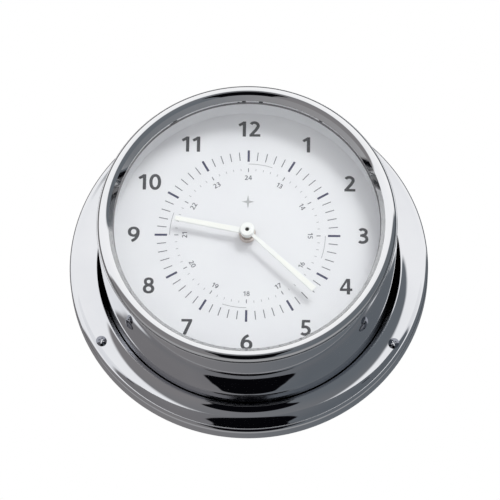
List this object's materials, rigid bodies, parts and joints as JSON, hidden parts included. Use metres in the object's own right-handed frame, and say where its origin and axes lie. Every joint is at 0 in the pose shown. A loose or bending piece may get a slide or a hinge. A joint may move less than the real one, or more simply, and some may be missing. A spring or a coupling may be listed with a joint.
{
  "type": "ship's deck clock",
  "caption": "Round wall clock in a polished drum case on a wide mounting flange, with a battery movement, two baton hands and a silver-white dial.",
  "frame": {"origin": "centre of the flange's flat rear face, on the axis of the hands", "axes": "+Z to 12 o'clock, +Y out of the back towards the wall, so the dial faces -Y; +X to 3 o'clock"},
  "size_m": [0.12, 0.0556, 0.12],
  "materials": {
    "chrome": "mirror-polished chrome plate",
    "bezel_chrome": "mirror-polished chrome plate",
    "dark_screw": "polished cross-head screws",
    "clear_glass": "flat mineral glass",
    "rubber": "matt black rubber",
    "white_ring": "satin silver-white lacquer",
    "dial_silver": "fine satin silver-white dial with dark print",
    "black_plastic": "matt moulded plastic",
    "brass": "turned brass",
    "polished_steel": "turned steel",
    "screw_steel": "zinc-plated steel",
    "wheel_plastic": "natural acetal",
    "hand_cream": "cream luminous enamel",
    "magnet": "sintered magnet",
    "stator_steel": "laminated soft iron",
    "bobbin_plastic": "moulded plastic",
    "copper": "enamelled copper wire",
    "pcb": "solder-masked laminate",
    "chip_resin": "black potting resin",
    "battery_jacket": "printed sleeve with a metal cap",
    "contact_metal": "nickel-plated spring strip"
  },
  "bodies": {
    "case": {"mounting_flange": "chrome", "flange_screws": "dark_screw", "case_drum": "chrome", "bezel": "bezel_chrome", "glass": "clear_glass", "glass_gasket": "rubber", "reflector_ring": "white_ring", "dial_plate": "dial_silver", "dial_support_ring": "black_plastic", "case_screws": "dark_screw", "rubber_washer": "rubber", "centre_bush": "brass", "centre_nut": "polished_steel", "movement_front_case": "black_plastic", "movement_rear_cover": "black_plastic", "rear_cover_screws": "screw_steel", "train_bridge": "wheel_plastic", "bridge_screws": "screw_steel", "stator": "stator_steel", "coil_bobbin": "bobbin_plastic", "coil_winding": "copper", "circuit_board": "pcb", "quartz_crystal": "screw_steel", "ic_chip": "chip_resin", "battery": "battery_jacket", "battery_contact_positive": "contact_metal", "battery_contact_negative": "contact_metal"},
    "minute": {"minute_arbor": "polished_steel", "minute_hand": "hand_cream", "hand_nut": "polished_steel"},
    "hour": {"hour_wheel": "wheel_plastic", "hour_hand": "hand_cream"},
    "motion": {"motion_wheel": "wheel_plastic"},
    "setting": {"setting_arbor": "polished_steel", "setting_knob": "black_plastic"},
    "centre": {"centre_wheel": "wheel_plastic"},
    "third": {"third_wheel": "wheel_plastic"},
    "second": {"second_wheel": "wheel_plastic"},
    "intermediate": {"intermediate_wheel": "wheel_plastic"},
    "rotor": {"rotor_magnet": "magnet", "rotor_pinion": "wheel_plastic"}
  },
  "joints": [
    {"name": "minute_spin", "type": "hinge", "parent": "case", "child": "minute", "pos_m": [0, -0.03, 0], "axis": [0, 1, 0], "continuous": true},
    {"name": "hour_spin", "type": "hinge", "parent": "case", "child": "hour", "pos_m": [0, -0.03, 0], "axis": [0, 1, 0], "continuous": true},
    {"name": "motion_spin", "type": "hinge", "parent": "case", "child": "motion", "pos_m": [0.006, -0.026, 0], "axis": [0, 1, 0], "continuous": true},
    {"name": "setting_spin", "type": "hinge", "parent": "case", "child": "setting", "pos_m": [0.012, -0.02, 0], "axis": [0, 1, 0], "continuous": true},
    {"name": "centre_spin", "type": "hinge", "parent": "case", "child": "centre", "pos_m": [0, -0.0236, 0], "axis": [0, 1, 0], "continuous": true},
    {"name": "third_spin", "type": "hinge", "parent": "case", "child": "third", "pos_m": [-0.00156, -0.022, 0.00886], "axis": [0, 1, 0], "continuous": true},
    {"name": "second_spin", "type": "hinge", "parent": "case", "child": "second", "pos_m": [0.00483, -0.02, 0.01119], "axis": [0, 1, 0], "continuous": true},
    {"name": "intermediate_spin", "type": "hinge", "parent": "case", "child": "intermediate", "pos_m": [0.00763, -0.018, 0.01604], "axis": [0, 1, 0], "continuous": true},
    {"name": "rotor_spin", "type": "hinge", "parent": "case", "child": "rotor", "pos_m": [0.00679, -0.02, 0.02077], "axis": [0, 1, 0], "continuous": true}
  ],
  "couplings": [
    {"joint": "hour_spin", "follows": "minute_spin", "ratio": 0.083333},
    {"joint": "motion_spin", "follows": "minute_spin", "ratio": -0.33333},
    {"joint": "setting_spin", "follows": "minute_spin", "ratio": 1},
    {"joint": "centre_spin", "follows": "second_spin", "ratio": 0.016667},
    {"joint": "third_spin", "follows": "second_spin", "ratio": -0.13333},
    {"joint": "intermediate_spin", "follows": "second_spin", "ratio": -6},
    {"joint": "rotor_spin", "follows": "second_spin", "ratio": 30}
  ]
}
